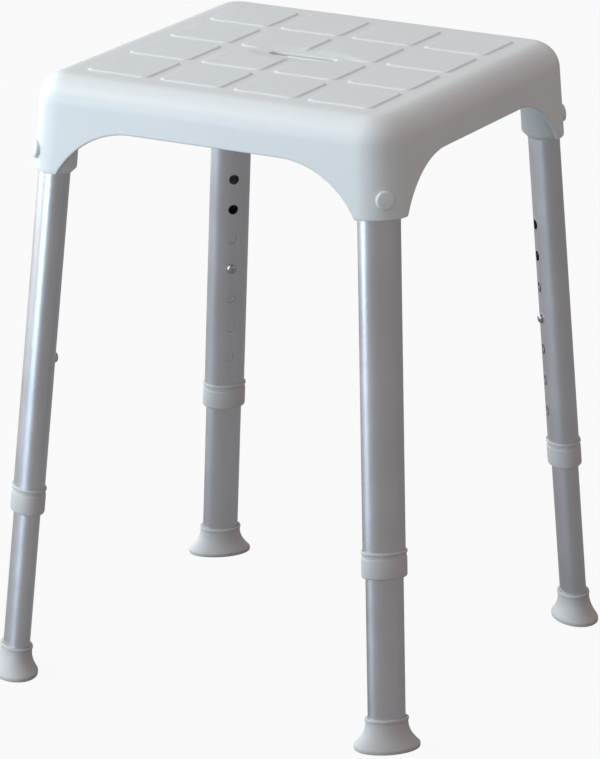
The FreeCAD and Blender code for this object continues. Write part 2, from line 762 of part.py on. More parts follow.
LEG_PIECES = [
    make_outer_tube,
    make_collar,
    make_inner_tube,
    make_foot,
    make_foot_washer,
    make_snap_button,
    make_button_spring,
    make_cover_cap,
    make_socket_screw,
]

pieces = [make_seat_shell()]
for leg_name, leg_turn in LEGS.items():
    for make_piece in LEG_PIECES:
        pieces.append(stand(make_piece(leg_name), leg_turn))
doc.recompute()

for thing in doc.Objects:
    if "Invalid" in thing.State or "Error" in thing.State:
        raise RuntimeError("%s failed: %s" % (thing.Name, thing.State))
for piece in pieces:
    shape = piece.Shape
    if shape.isNull() or not shape.isValid() or len(shape.Solids) != 1:
        raise RuntimeError("%s isn't one valid solid" % piece.Label)

os.makedirs("parts", exist_ok=True)
for piece in pieces:
    piece.Shape.exportStep("parts/%s.step" % piece.Label)
print("%d pieces written" % len(pieces))
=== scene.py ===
"""Looks of a shower stool: moulded seat, oval aluminium legs, collars, snap buttons and rubber feet.

Lengths in the code are millimetres unless a name says otherwise; points() turns them into metres.
A leg has its own frame: Z runs up the leg, X points out of the stool and Y runs across.
"""
import math

import bpy
from mathutils import Matrix, Vector


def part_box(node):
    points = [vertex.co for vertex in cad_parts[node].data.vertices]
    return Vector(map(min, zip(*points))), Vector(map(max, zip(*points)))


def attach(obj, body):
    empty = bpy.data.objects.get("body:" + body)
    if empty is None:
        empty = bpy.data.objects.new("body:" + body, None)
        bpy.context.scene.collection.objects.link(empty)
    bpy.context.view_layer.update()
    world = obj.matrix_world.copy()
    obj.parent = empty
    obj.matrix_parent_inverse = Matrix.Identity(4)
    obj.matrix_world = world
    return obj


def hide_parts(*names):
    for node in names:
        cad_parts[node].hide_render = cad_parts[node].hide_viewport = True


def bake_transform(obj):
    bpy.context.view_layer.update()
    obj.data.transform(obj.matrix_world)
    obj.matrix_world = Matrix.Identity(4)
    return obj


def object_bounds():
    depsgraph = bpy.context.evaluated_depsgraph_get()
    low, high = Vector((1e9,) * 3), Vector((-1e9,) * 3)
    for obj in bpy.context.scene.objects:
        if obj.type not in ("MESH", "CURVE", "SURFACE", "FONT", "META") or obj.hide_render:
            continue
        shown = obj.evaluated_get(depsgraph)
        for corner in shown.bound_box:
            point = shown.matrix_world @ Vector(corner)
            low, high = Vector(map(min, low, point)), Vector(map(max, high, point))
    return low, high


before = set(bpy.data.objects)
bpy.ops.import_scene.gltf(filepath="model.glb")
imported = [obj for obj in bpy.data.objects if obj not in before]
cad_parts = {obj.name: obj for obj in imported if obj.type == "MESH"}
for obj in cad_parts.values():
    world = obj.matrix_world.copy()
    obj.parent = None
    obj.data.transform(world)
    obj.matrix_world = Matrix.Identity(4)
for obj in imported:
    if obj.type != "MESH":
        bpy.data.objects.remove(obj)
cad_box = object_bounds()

MM = 0.001
LEGS = {"front_left": 225.0, "front_right": 315.0, "back_right": 45.0, "back_left": 135.0}

# The tube, and the pieces that fit round it.
TUBE_WIDTH = 32.0
TUBE_DEPTH = 23.0
INNER_WIDTH = 28.4
INNER_DEPTH = 19.4
LEG_LEAN = math.radians(5.03)

# The seat.
TILE_RISE = 1.0
SEAT_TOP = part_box("seat_shell")[1].z / MM - TILE_RISE
SEAT_HALF = 147.8
CORNER_RADIUS = 25.0
EDGE_RADIUS = 20.0
SHELL_WALL = 3.0
SKIRT_FLARE = math.tan(LEG_LEAN) / math.sqrt(2)
ARCH_CROWN = SEAT_TOP - 35.5
ARCH_FLAT = 61.0
ARCH_RADIUS = 71.0
SOCKET_LENGTH = 57.4
SOCKET_WALL = 3.4


# ---------------------------------------------------------------- meshes

def points(coordinates):
    return [Vector(point) * MM for point in coordinates]


def add_piece(name, vertices, faces, body, material, crease=35.0):
    """Makes a mesh object, smooth except at edges sharper than crease, that rides on a body if one is named."""
    mesh = bpy.data.meshes.new(name)
    mesh.from_pydata(vertices, [], faces)
    mesh.validate()
    mesh.update()
    mesh.shade_smooth()
    mesh.set_sharp_from_angle(angle=math.radians(crease))
    mesh.materials.append(material)
    piece = bpy.data.objects.new(name, mesh)
    bpy.context.scene.collection.objects.link(piece)
    if body:
        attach(piece, body)
    return piece


def ring_faces(rings, count, start=0):
    """Quads between successive rings of count points each."""
    faces = []
    for ring in range(rings - 1):
        low = start + ring * count
        for index in range(count):
            after = (index + 1) % count
            faces.append((low + index, low + after, low + count + after, low + count + index))
    return faces


def turned(place, rings, count, closed):
    """A lathe-like skin in a frame: rings of (height, half X, half Y, shift X, tilt), joined in order.

    A closed skin joins its last ring to its first; an open one gets a flat face at each end.
    """
    vertices = []
    for height, half_x, half_y, shift, tilt in rings:
        for index in range(count):
            angle = 2 * math.pi * index / count
            x = half_x * math.cos(angle)
            point = Vector((shift + x * math.cos(tilt), half_y * math.sin(angle), height - x * math.sin(tilt)))
            vertices.append((place @ point) * MM)
    faces = ring_faces(len(rings), count)
    last = (len(rings) - 1) * count
    if closed:
        for index in range(count):
            after = (index + 1) % count
            faces.append((last + index, last + after, after, index))
    else:
        faces.append(tuple(reversed(range(count))))
        faces.append(tuple(range(last, last + count)))
    return vertices, faces


def rounded(corner, start, end, radius, steps=4):
    """Points of a quarter round: corner is its centre, start and end its first and last angle."""
    found = []
    for step in range(steps + 1):
        angle = math.radians(start + (end - start) * step / steps)
        found.append((corner[0] + radius * math.sin(angle), corner[1] + radius * math.cos(angle)))
    return found


def smoothstep(low, high, number):
    share = min(max((number - low) / (high - low), 0.0), 1.0)
    return share * share * (3 - 2 * share)


# ---------------------------------------------------------------- where the legs are

def leg_place(leg):
    """The leg's own frame, in millimetres, and its tube's lower end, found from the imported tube."""
    turn = math.radians(LEGS[leg])
    outward = Vector((math.cos(turn), math.sin(turn), 0))
    across = Vector((-math.sin(turn), math.cos(turn), 0))
    up = Vector((0, 0, math.cos(LEG_LEAN))) - outward * math.sin(LEG_LEAN)
    out = across.cross(up)
    low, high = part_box("outer_tube_" + leg)
    middle = (low + high) / 2 / MM
    foot = middle - up * (middle.z / up.z)
    place = Matrix((out, across, up)).transposed().to_4x4()
    place.translation = foot
    half_rise = (high.z - low.z) / 2 / MM - TUBE_DEPTH / 2 * math.sin(LEG_LEAN)
    tube_foot = middle.z / up.z - half_rise / up.z
    tube_top = middle.z / up.z + half_rise / up.z
    return place, tube_foot, tube_top


# ---------------------------------------------------------------- node groups

def new_group(name, inputs, outputs):
    """A shader node group. inputs is {name: (socket type, default)}; outputs is {name: socket type}."""
    group = bpy.data.node_groups.new(name, "ShaderNodeTree")
    for label, (kind, default) in inputs.items():
        socket = group.interface.new_socket(label, in_out="INPUT", socket_type=kind)
        if default is not None:
            socket.default_value = default
    for label, kind in outputs.items():
        group.interface.new_socket(label, in_out="OUTPUT", socket_type=kind)
    start = group.nodes.new("NodeGroupInput")
    end = group.nodes.new("NodeGroupOutput")
    return group, start, end


def add_node(tree, kind, links=(), **settings):
    """A node whose inputs are given as {input: value or output socket}."""
    node = tree.nodes.new("ShaderNode" + kind)
    for key, setting in settings.items():
        setattr(node, key, setting)
    for key, given in dict(links).items():
        if isinstance(given, bpy.types.NodeSocket):
            tree.links.new(given, node.inputs[key])
        else:
            node.inputs[key].default_value = given
    return node


def build_pebble_group():
    """Fine pebbled grain of moulded plastic, with a slow waviness from shrinkage under it."""
    group, start, end = new_group(
        "pebbled_grain",
        {
            "Vector": ("NodeSocketVector", None),
            "Grain Size": ("NodeSocketFloat", 900.0),
            "Waviness": ("NodeSocketFloat", 0.3),
        },
        {"Height": "NodeSocketFloat", "Tone": "NodeSocketFloat"},
    )
    grain = add_node(group, "TexVoronoi", {"Vector": start.outputs["Vector"], "Scale": start.outputs["Grain Size"]})
    fine = add_node(
        group, "TexNoise",
        {"Vector": start.outputs["Vector"], "Scale": start.outputs["Grain Size"], "Detail": 3.0, "Roughness": 0.6},
    )
    slow = add_node(group, "TexNoise", {"Vector": start.outputs["Vector"], "Scale": 14.0, "Detail": 2.0})
    dimples = add_node(
        group, "Math", {0: grain.outputs["Distance"], 1: fine.outputs["Fac"]}, operation="ADD"
    )
    waves = add_node(
        group, "Math", {0: slow.outputs["Fac"], 1: start.outputs["Waviness"]}, operation="MULTIPLY"
    )
    total = add_node(group, "Math", {0: dimples.outputs[0], 1: waves.outputs[0]}, operation="ADD")
    group.links.new(total.outputs[0], end.inputs["Height"])
    group.links.new(slow.outputs["Fac"], end.inputs["Tone"])
    return group


def build_draw_group():
    """Long faint die lines along a drawn tube, and soft cloudy patches of its anodising."""
    group, start, end = new_group(
        "drawn_lines",
        {
            "Vector": ("NodeSocketVector", None),
            "Line Density": ("NodeSocketFloat", 900.0),
            "Stretch": ("NodeSocketFloat", 0.02),
        },
        {"Height": "NodeSocketFloat", "Tone": "NodeSocketFloat"},
    )
    long = add_node(group, "CombineXYZ", {"X": 1.0, "Y": 1.0, "Z": start.outputs["Stretch"]})
    squeezed = add_node(
        group, "VectorMath", {0: start.outputs["Vector"], 1: long.outputs[0]}, operation="MULTIPLY"
    )
    lines = add_node(
        group, "TexNoise",
        {"Vector": squeezed.outputs[0], "Scale": start.outputs["Line Density"], "Detail": 4.0, "Roughness": 0.7},
    )
    clouds = add_node(group, "TexNoise", {"Vector": start.outputs["Vector"], "Scale": 22.0, "Detail": 4.0})
    group.links.new(lines.outputs["Fac"], end.inputs["Height"])
    group.links.new(clouds.outputs["Fac"], end.inputs["Tone"])
    return group


def build_scuff_group():
    """A mask of scattered fine scuffs and specks, where handling and cleaning have dulled a surface."""
    group, start, end = new_group(
        "handling_scuffs",
        {
            "Vector": ("NodeSocketVector", None),
            "Scale": ("NodeSocketFloat", 120.0),
            "Amount": ("NodeSocketFloat", 0.35),
        },
        {"Mask": "NodeSocketFloat"},
    )
    specks = add_node(
        group, "TexNoise",
        {"Vector": start.outputs["Vector"], "Scale": start.outputs["Scale"], "Detail": 6.0, "Roughness": 0.75,
         "Distortion": 1.5},
    )
    picked = add_node(
        group, "MapRange",
        {"Value": specks.outputs["Fac"], "From Min": 0.55, "From Max": 0.8, "To Min": 0.0,
         "To Max": start.outputs["Amount"]},
    )
    group.links.new(picked.outputs["Result"], end.inputs["Mask"])
    return group


pebbled_grain = build_pebble_group()
drawn_lines = build_draw_group()
handling_scuffs = build_scuff_group()


# ---------------------------------------------------------------- materials

def place_group(tree, group, vector, **settings):
    node = tree.nodes.new("ShaderNodeGroup")
    node.node_tree = group
    tree.links.new(vector, node.inputs["Vector"])
    for key, setting in settings.items():
        node.inputs[key.replace("_", " ")].default_value = setting
    return node


def finish_material(name, low, high, roughness, texture, bump, metallic=0.0, specular=0.5, turn=None,
                    roughness_swing=0.08, scuffs=0.25):
    """A material whose colour moves between low and high with the texture's tone.

    texture is (node group, its settings); bump is (strength, distance in metres). turn is the leg's
    direction, for a texture that follows the leg.
    """
    material = bpy.data.materials.new(name)
    material.use_nodes = True
    tree = material.node_tree
    shader = tree.nodes["Principled BSDF"]
    shader.inputs["Metallic"].default_value = metallic
    shader.inputs["Specular IOR Level"].default_value = specular
    where = add_node(tree, "TexCoord").outputs["Object"]
    if turn is not None:
        spin = add_node(tree, "Mapping", {"Vector": where, "Rotation": (0, 0, -turn)})
        lean = add_node(tree, "Mapping", {"Vector": spin.outputs[0], "Rotation": (0, LEG_LEAN, 0)})
        where = lean.outputs[0]
    group, settings = texture
    surface = place_group(tree, group, where, **settings)
    worn = place_group(tree, handling_scuffs, where, Amount=scuffs)
    colour = add_node(
        tree, "Mix", {"Factor": surface.outputs["Tone"], "A": (*low, 1.0), "B": (*high, 1.0)}, data_type="RGBA"
    )
    colour.inputs[6].default_value = (*low, 1.0)
    colour.inputs[7].default_value = (*high, 1.0)
    tree.links.new(colour.outputs[2], shader.inputs["Base Color"])
    swing = add_node(
        tree, "MapRange",
        {"Value": surface.outputs["Tone"], "To Min": roughness - roughness_swing, "To Max": roughness + roughness_swing},
    )
    dulled = add_node(tree, "Math", {0: swing.outputs["Result"], 1: worn.outputs["Mask"]}, operation="ADD")
    tree.links.new(dulled.outputs[0], shader.inputs["Roughness"])
    relief = add_node(
        tree, "Bump", {"Height": surface.outputs["Height"], "Strength": bump[0], "Distance": bump[1]}
    )
    tree.links.new(relief.outputs["Normal"], shader.inputs["Normal"])
    return material


seat_plastic = finish_material(
    "seat_plastic", (0.72, 0.755, 0.76), (0.76, 0.795, 0.80), 0.36,
    (pebbled_grain, {"Grain_Size": 700.0, "Waviness": 0.6}), (0.12, 0.0004), scuffs=0.12,
)
cap_plastic = finish_material(
    "cap_plastic", (0.73, 0.765, 0.77), (0.77, 0.80, 0.805), 0.30,
    (pebbled_grain, {"Grain_Size": 1200.0, "Waviness": 0.2}), (0.06, 0.0002), scuffs=0.1,
)
collar_plastic = finish_material(
    "collar_plastic", (0.52, 0.52, 0.515), (0.57, 0.57, 0.565), 0.38,
    (pebbled_grain, {"Grain_Size": 1100.0, "Waviness": 0.3}), (0.08, 0.0002), scuffs=0.15,
)
foot_rubber = finish_material(
    "foot_rubber", (0.47, 0.47, 0.465), (0.53, 0.53, 0.525), 0.50,
    (pebbled_grain, {"Grain_Size": 1000.0, "Waviness": 0.4}), (0.12, 0.0003), scuffs=0.2,
)
plain_steel = finish_material(
    "plain_steel", (0.42, 0.42, 0.43), (0.52, 0.52, 0.53), 0.34,
    (pebbled_grain, {"Grain_Size": 1500.0, "Waviness": 0.1}), (0.05, 0.0001), metallic=1.0, scuffs=0.2,
)
button_steel = finish_material(
    "button_steel", (0.46, 0.46, 0.47), (0.55, 0.55, 0.56), 0.28,
    (pebbled_grain, {"Grain_Size": 1500.0, "Waviness": 0.1}), (0.04, 0.0001), metallic=1.0, scuffs=0.25,
)
tube_aluminium = {
    leg: finish_material(
        "tube_aluminium_" + leg, (0.71, 0.705, 0.73), (0.78, 0.775, 0.80), 0.34,
        (drawn_lines, {"Line_Density": 1400.0, "Stretch": 0.012}), (0.10, 0.0002),
        metallic=1.0, turn=math.radians(turn), scuffs=0.1,
    )
    for leg, turn in LEGS.items()
}


# ---------------------------------------------------------------- the seat

TILE_HALF = 26.25
TILE_CORNER = 6.0
TILE_PITCH = 61.0
BALL_CENTRE = SEAT_HALF + EDGE_RADIUS * (SKIRT_FLARE - math.hypot(1, SKIRT_FLARE))
CORE_HALF = SEAT_HALF - CORNER_RADIUS
LAST_ANGLE = math.pi / 2 - math.atan(SKIRT_FLARE)
SLOT_HALF = 27.0
SLOT_RADIUS = 4.5
SLOT_LIP = 1.3
SLOT_CORE = SLOT_HALF - SLOT_RADIUS
HOLE_RADIUS = SLOT_RADIUS + SLOT_LIP
DISH_HALF_LENGTH = 43.0
DISH_HALF_WIDTH = 17.0
DISH_DEPTH = 1.1


def tile_height(x, y):
    """Height above the seat's plain top: low tiles with soft edges, and the dish round the slot."""
    spans = []
    for number in (x, y):
        middle = TILE_PITCH / 2 if abs(number) < TILE_PITCH else TILE_PITCH * 1.5
        spans.append(abs(abs(number) - middle) - (TILE_HALF - TILE_CORNER))
    beyond = math.hypot(max(spans[0], 0), max(spans[1], 0)) + min(max(spans), 0) - TILE_CORNER
    tile = TILE_RISE * (1 - smoothstep(-1.6, 0.5, beyond))
    reach = math.hypot(x / DISH_HALF_LENGTH, y / DISH_HALF_WIDTH)
    dish = -DISH_DEPTH * (1 - smoothstep(0.2, 1.0, reach))
    share = smoothstep(0.92, 1.04, reach)
    return tile * share + dish * (1 - share)


def grid_lines(special):
    """Grid lines across the flat top: close together at tile edges and corners, and at the special places."""
    places = set()
    close = (0.0, 0.4, 0.8, 1.2, 1.7, 2.4, 3.2, 4.2, 5.4, 6.8)
    for middle in (-1.5 * TILE_PITCH, -0.5 * TILE_PITCH, 0.5 * TILE_PITCH, 1.5 * TILE_PITCH):
        for side in (-1, 1):
            edge = middle + side * TILE_HALF
            places.update(edge - side * gap for gap in close)
            places.update(edge + side * gap for gap in (0.4, 1.1, 2.2))
        places.update(middle + TILE_HALF * share for share in (-0.6, -0.45, -0.3, -0.15, 0, 0.15, 0.3, 0.45, 0.6))
    border = BALL_CENTRE - CORE_HALF
    fixed = set(special) | {0.0}
    for side in (-1, 1):
        fixed.update(side * (CORE_HALF + border * step / 5) for step in range(6))
    kept = sorted(fixed)
    for place in sorted(places):
        if abs(place) < BALL_CENTRE and min(abs(place - other) for other in kept) > 0.35:
            kept.append(place)
    return sorted(kept)


def square_to_round(u, v):
    """Where a point of a unit square's quarter goes when the square's edge becomes a circle."""
    reach = max(u, v)
    if reach == 0:
        return 0.0, 0.0
    angle = math.pi / 4 * v / u if u >= v else math.pi / 2 - math.pi / 4 * u / v
    return reach * math.cos(angle), reach * math.sin(angle)


def flat_point(x, y):
    """A grid point of the flat top: the grid's square corners become round."""
    border = BALL_CENTRE - CORE_HALF
    if abs(x) > CORE_HALF and abs(y) > CORE_HALF:
        u, v = square_to_round((abs(x) - CORE_HALF) / border, (abs(y) - CORE_HALF) / border)
        return math.copysign(CORE_HALF + u * border, x), math.copysign(CORE_HALF + v * border, y)
    return x, y


def slot_point(x, y, radius):
    """A point on the edge of the grid's oblong hole, moved to the slot's round-ended outline."""
    if abs(x) <= SLOT_CORE:
        return x, math.copysign(radius, y)
    u, v = square_to_round((abs(x) - SLOT_CORE) / HOLE_RADIUS, abs(y) / HOLE_RADIUS)
    return math.copysign(SLOT_CORE + radius * u, x), math.copysign(radius * v, y)


def rim_walk(columns, rows):
    """Grid indices round a block's edge, anticlockwise from its lowest corner."""
    (left, right), (low, high) = columns, rows
    walk = [(i, low) for i in range(left, right)]
    walk += [(right, j) for j in range(low, high)]
    walk += [(i, high) for i in range(right, left, -1)]
    walk += [(left, j) for j in range(high, low, -1)]
    return walk


def skirt_foot(along, across, half):
    """Height of the skirt's lower edge at a point of its outline: the arch's, or the socket's mouth."""
    reach = abs(along) - ARCH_FLAT
    if reach <= 0:
        arch = ARCH_CROWN
    else:
        arch = ARCH_CROWN - ARCH_RADIUS + math.sqrt(max(ARCH_RADIUS ** 2 - reach ** 2, 0))
    outward = (abs(along) + abs(across)) / math.sqrt(2)
    mouth = (socket_mouth + math.sin(LEG_LEAN) * (outward - leg_foot_reach)) / math.cos(LEG_LEAN)
    return max(arch, mouth) if abs(along) < half - CORNER_RADIUS + 5 else mouth


def outline_place(grid_point):
    """Share of the core square, and outward direction, of a point on the flat top's outline."""
    x, y = grid_point
    core = [min(max(number, -CORE_HALF), CORE_HALF) for number in (x, y)]
    away = Vector((x - core[0], y - core[1]))
    return Vector(core) / CORE_HALF, away.normalized()


def skin_point(share, away, angle, depth, inward):
    """A point of the seat's edge or skirt, moved inward along the skin's own normal."""
    half = SEAT_HALF + depth * SKIRT_FLARE
    core = half - CORNER_RADIUS
    if angle < LAST_ANGLE:
        reach = BALL_CENTRE + EDGE_RADIUS * math.sin(angle)
    else:
        reach = half
    radius = reach - core - inward * math.sin(angle)
    level = share * core + away * radius
    return Vector((level.x, level.y, SEAT_TOP - depth - inward * math.cos(angle)))


def edge_columns(share, away):
    """One column of the seat's skin from the flat top down to its lower edge, as (angle, depth) pairs."""
    column = []
    for step in range(1, 13):
        angle = LAST_ANGLE * step / 12
        column.append((angle, EDGE_RADIUS * (1 - math.cos(angle))))
    start = column[-1][1]
    depth = start
    for _ in range(4):
        point = skin_point(share, away, LAST_ANGLE, depth, 0)
        half = SEAT_HALF + depth * SKIRT_FLARE
        along, across = sorted((abs(point.x), abs(point.y)))
        depth = SEAT_TOP - skirt_foot(along, across, half)
    for step in range(1, 21):
        column.append((LAST_ANGLE, start + (depth - LIP_ROUND - start) * step / 20))
    return column, depth


LIP_ROUND = 0.9


def lower_lip(share, away, depth):
    """The rounded lower edge of the skin, from its outer side to its inner."""
    found = []
    far = SHELL_WALL - LIP_ROUND
    for drop, inward in rounded((0, LIP_ROUND), 180, 90, LIP_ROUND) + rounded((0, far), 90, 0, LIP_ROUND):
        found.append((depth - LIP_ROUND + abs(drop), inward))
    return [skin_point(share, away, LAST_ANGLE, deep, inward) for deep, inward in found]


def build_seat_skin():
    """Closed skin of the seat: tiled top, slot, rounded edge, flared skirt, lower lip and inner side."""
    slot_x = SLOT_CORE + HOLE_RADIUS
    xs = grid_lines([-slot_x, -SLOT_CORE, SLOT_CORE, slot_x])
    ys = grid_lines([-HOLE_RADIUS, -HOLE_RADIUS / 2, HOLE_RADIUS / 2, HOLE_RADIUS])
    hole = ((xs.index(-slot_x), xs.index(slot_x)), (ys.index(-HOLE_RADIUS), ys.index(HOLE_RADIUS)))
    hole_walk = rim_walk(*hole)
    outer_walk = rim_walk((0, len(xs) - 1), (0, len(ys) - 1))
    on_hole = set(hole_walk)
    vertices = []
    faces = []

    def flat_layer(inner):
        """The top's outer or inner side; returns each grid point's vertex."""
        index = {}
        for i, x in enumerate(xs):
            for j, y in enumerate(ys):
                in_hole = hole[0][0] < i < hole[0][1] and hole[1][0] < j < hole[1][1]
                if in_hole:
                    continue
                if (i, j) in on_hole:
                    px, py = slot_point(x, y, SLOT_RADIUS if inner else HOLE_RADIUS)
                else:
                    px, py = flat_point(x, y)
                height = SEAT_TOP - SHELL_WALL if inner else SEAT_TOP + tile_height(px, py)
                index[i, j] = len(vertices)
                vertices.append(Vector((px, py, height)))
        for i in range(len(xs) - 1):
            for j in range(len(ys) - 1):
                if hole[0][0] <= i < hole[0][1] and hole[1][0] <= j < hole[1][1]:
                    continue
                quad = (index[i, j], index[i + 1, j], index[i + 1, j + 1], index[i, j + 1])
                faces.append(tuple(reversed(quad)) if inner else quad)
        return index

    def join(first, second):
        """Quads between two closed loops of vertices."""
        for index in range(len(first)):
            after = (index + 1) % len(first)
            faces.append((first[index], second[index], second[after], first[after]))

    def add_loop(found):
        start = len(vertices)
        vertices.extend(found)
        return list(range(start, len(vertices)))

    top = flat_layer(inner=False)
    ceiling = flat_layer(inner=True)

    columns = []
    for i, j in outer_walk:
        share, away = outline_place(flat_point(xs[i], ys[j]))
        column, depth = edge_columns(share, away)
        outer = [skin_point(share, away, angle, deep, 0) for angle, deep in column]
        inner = [skin_point(share, away, angle, deep, SHELL_WALL) for angle, deep in reversed(column)]
        columns.append(outer + lower_lip(share, away, depth)[1:-1] + inner)
    loop = [top[place] for place in outer_walk]
    for ring in range(len(columns[0])):
        following = add_loop([column[ring] for column in columns])
        join(loop, following)
        loop = following
    join(loop, [ceiling[place] for place in outer_walk])

    loop = [top[place] for place in hole_walk]
    lip_top = vertices[loop[0]].z
    for spread, drop in [(0.75, 0.1), (0.45, 0.35), (0.18, 0.75), (0.0, SLOT_LIP), (0.0, 2.0)]:
        level = []
        for i, j in hole_walk:
            x, y = slot_point(xs[i], ys[j], SLOT_RADIUS + SLOT_LIP * spread)
            level.append(Vector((x, y, lip_top - drop * (lip_top - SEAT_TOP + SHELL_WALL) / SHELL_WALL)))
        following = add_loop(level)
        join(following, loop)
        loop = following
    join([ceiling[place] for place in hole_walk], loop)
    return vertices, faces


RIB_FOOT = SEAT_TOP - 6.5
RIB_WALL = 2.4
RIB_DRAFT = 0.3


def add_ribs(vertices, faces):
    """Four tapered ribs each way under the top, their ends inside the skirt's wall."""
    reach = BALL_CENTRE + 8.0
    for turn in (0, 1):
        for row in (-1.5, -0.5, 0.5, 1.5):
            start = len(vertices)
            middle = row * TILE_PITCH
            root = SEAT_TOP - SHELL_WALL / 2
            for height, wall in ((root, RIB_WALL / 2), (RIB_FOOT + 0.5, RIB_WALL / 2 - RIB_DRAFT),
                                 (RIB_FOOT, RIB_WALL / 2 - RIB_DRAFT - 0.4)):
                for along, side in ((-reach, -wall), (reach, -wall), (reach, wall), (-reach, wall)):
                    level = (middle + side, -along) if turn else (along, middle + side)
                    vertices.append(Vector((*level, height)))
            for ring in range(2):
                low = start + 4 * ring
                for index in range(4):
                    after = (index + 1) % 4
                    faces.append((low + index, low + 4 + index, low + 4 + after, low + after))
            faces.append((start, start + 1, start + 2, start + 3))
            faces.append((start + 11, start + 10, start + 9, start + 8))


SLEEVE_SLOPE = math.radians(20)


def add_sleeve(vertices, faces, place, tube_top):
    """The oval sleeve that holds one leg: chamfered mouth, blind bore."""
    mouth = tube_top - SOCKET_LENGTH
    root = SEAT_TOP / math.cos(LEG_LEAN) - SHELL_WALL - 4.5
    bore = (TUBE_DEPTH / 2 + 0.05, TUBE_WIDTH / 2 + 0.05)
    waist = ((TUBE_DEPTH + 4.8) / 2, TUBE_WIDTH / 2 + 4.0)
    rings = [
        (tube_top, 0.01, 0.01, 0, 0),
        (tube_top, *bore, 0, 0),
        (mouth + 0.4, *bore, 0, 0),
        (mouth, bore[0] + 0.3, bore[1] + 0.3, 0, 0),
        (mouth, bore[0] + 0.6, bore[1] + 0.7, -0.1, 0),
        (mouth + 3.6, waist[0] - 0.3, waist[1] - 0.4, -1.8, 0),
        (mouth + 4.6, *waist, -1.9, 0),
        (root, *waist, -1.9, SLEEVE_SLOPE),
    ]
    found, quads = turned(place, rings, 72, closed=False)
    start = len(vertices)
    vertices.extend(point / MM for point in found)
    faces.extend(tuple(start + index for index in face) for face in quads)


# ---------------------------------------------------------------- one leg's pieces

def oval_profile(profile, half_x, half_y):
    """Rings round the leg from (height, outset) pairs: the outset is added to both half sizes."""
    return [(height, half_x + outset, half_y + outset, 0.0, 0.0) for height, outset in profile]


def add_collar(leg, place, tube_foot):
    """The guide bush at the outer tube's end: rounded foot, plain sleeve, shallow band and top lip."""
    floor = 2.4
    wall = 1.1
    lip = 1.35
    band = 0.7
    bottom = tube_foot - floor
    profile = [(0.5, -1.5), (0.1, -1.3), (0.0, -1.0)]
    profile += rounded((1.7, wall - 1.7), 180, 90, 1.7)[1:] and [
        (1.7 - 1.7 * math.cos(angle), wall - 1.7 + 1.7 * math.sin(angle))
        for angle in (math.pi / 2 * step / 5 for step in range(6))
    ]
    profile += [(8.0, wall), (14.4, wall), (14.8, wall - 0.08), (15.1, band), (15.5, band - 0.03)]
    profile += [(17.6, band - 0.03), (17.9, band), (18.1, lip - 0.15), (18.4, lip), (19.3, lip)]
    profile += [(19.75, lip - 0.15), (20.0, lip - 0.5), (20.0, 0.35), (19.8, 0.02), (floor, 0.02), (floor, -1.5)]
    rings = oval_profile([(bottom + height, outset) for height, outset in profile], TUBE_DEPTH / 2, TUBE_WIDTH / 2)
    vertices, faces = turned(place, rings, 96, closed=True)
    piece = add_piece("guide_collar_" + leg, vertices, faces, "seat", collar_plastic)
    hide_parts("collar_" + leg)


FOOT_RIM = 20.6
FOOT_TOP = 23.0
FOOT_LIP = 3.4
FOOT_HALF = (17.2, 25.0)
FLARE_POWER = 2.25


def add_foot(leg, place):
    """The rubber ferrule: level flared skirt with a thin upright lip, and a bead at the top."""
    neck = (INNER_DEPTH / 2 + 1.9, INNER_WIDTH / 2 + 1.9)
    rings = []

    def level_ring(height, share, shrink=0.0):
        """A ring whose tilt turns from level at the lip to square to the leg at the rim."""
        rise = min(max((height - FOOT_LIP) / (FOOT_RIM - FOOT_LIP), 0.0), 1.0)
        tilt = (1 - rise) * LEG_LEAN
        sizes = [low + (high - low) * share - shrink for low, high in zip(neck, FOOT_HALF)]
        lifted = height * (1 + (1 - rise) * (1 / math.cos(LEG_LEAN) - 1))
        shift = -(height if height < FOOT_LIP else FOOT_LIP) * 0.0
        rings.append((lifted, sizes[0], sizes[1], shift, tilt))

    sole_shift = math.sin(LEG_LEAN)
    rings.append((0.0, 0.01, 0.01, sole_shift * 0.0, LEG_LEAN))
    for height, shrink in ((0.0, 5.0), (0.0, 1.2), (0.12, 0.6), (0.5, 0.15), (1.0, 0.0), (2.6, 0.0), (3.1, 0.12)):
        level_ring(height, 1.0, shrink)
    steps = 18
    for step in range(steps + 1):
        rise = step / steps
        height = FOOT_LIP + rise * (FOOT_RIM - FOOT_LIP)
        level_ring(height, (1 - rise) ** FLARE_POWER, 0.28 * (1 - rise) ** 12)
    bead = [(FOOT_RIM + 0.05, 1.95), (FOOT_RIM + 0.25, 2.25), (FOOT_RIM + 0.6, 2.35), (FOOT_TOP - 0.6, 2.35),
            (FOOT_TOP - 0.2, 2.2), (FOOT_TOP, 1.85), (FOOT_TOP, 0.4), (FOOT_TOP - 0.3, 0.03), (8.0, 0.03)]
    rings += oval_profile(bead, INNER_DEPTH / 2, INNER_WIDTH / 2)
    rings.append((8.0, 0.01, 0.01, 0.0, 0.0))
    vertices, faces = turned(place, rings, 96, closed=False)
    piece = add_piece("rubber_foot_" + leg, vertices, faces, "lower_leg_" + leg, foot_rubber)
    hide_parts("foot_" + leg)


def sideways(place, height, outer):
    """A frame whose Z points out of the stool, or inwards, from the leg's axis at a height up the leg."""
    turn = Matrix.Rotation(math.pi / 2 if outer else -math.pi / 2, 4, "Y")
    return place @ Matrix.Translation((0, 0, height)) @ turn


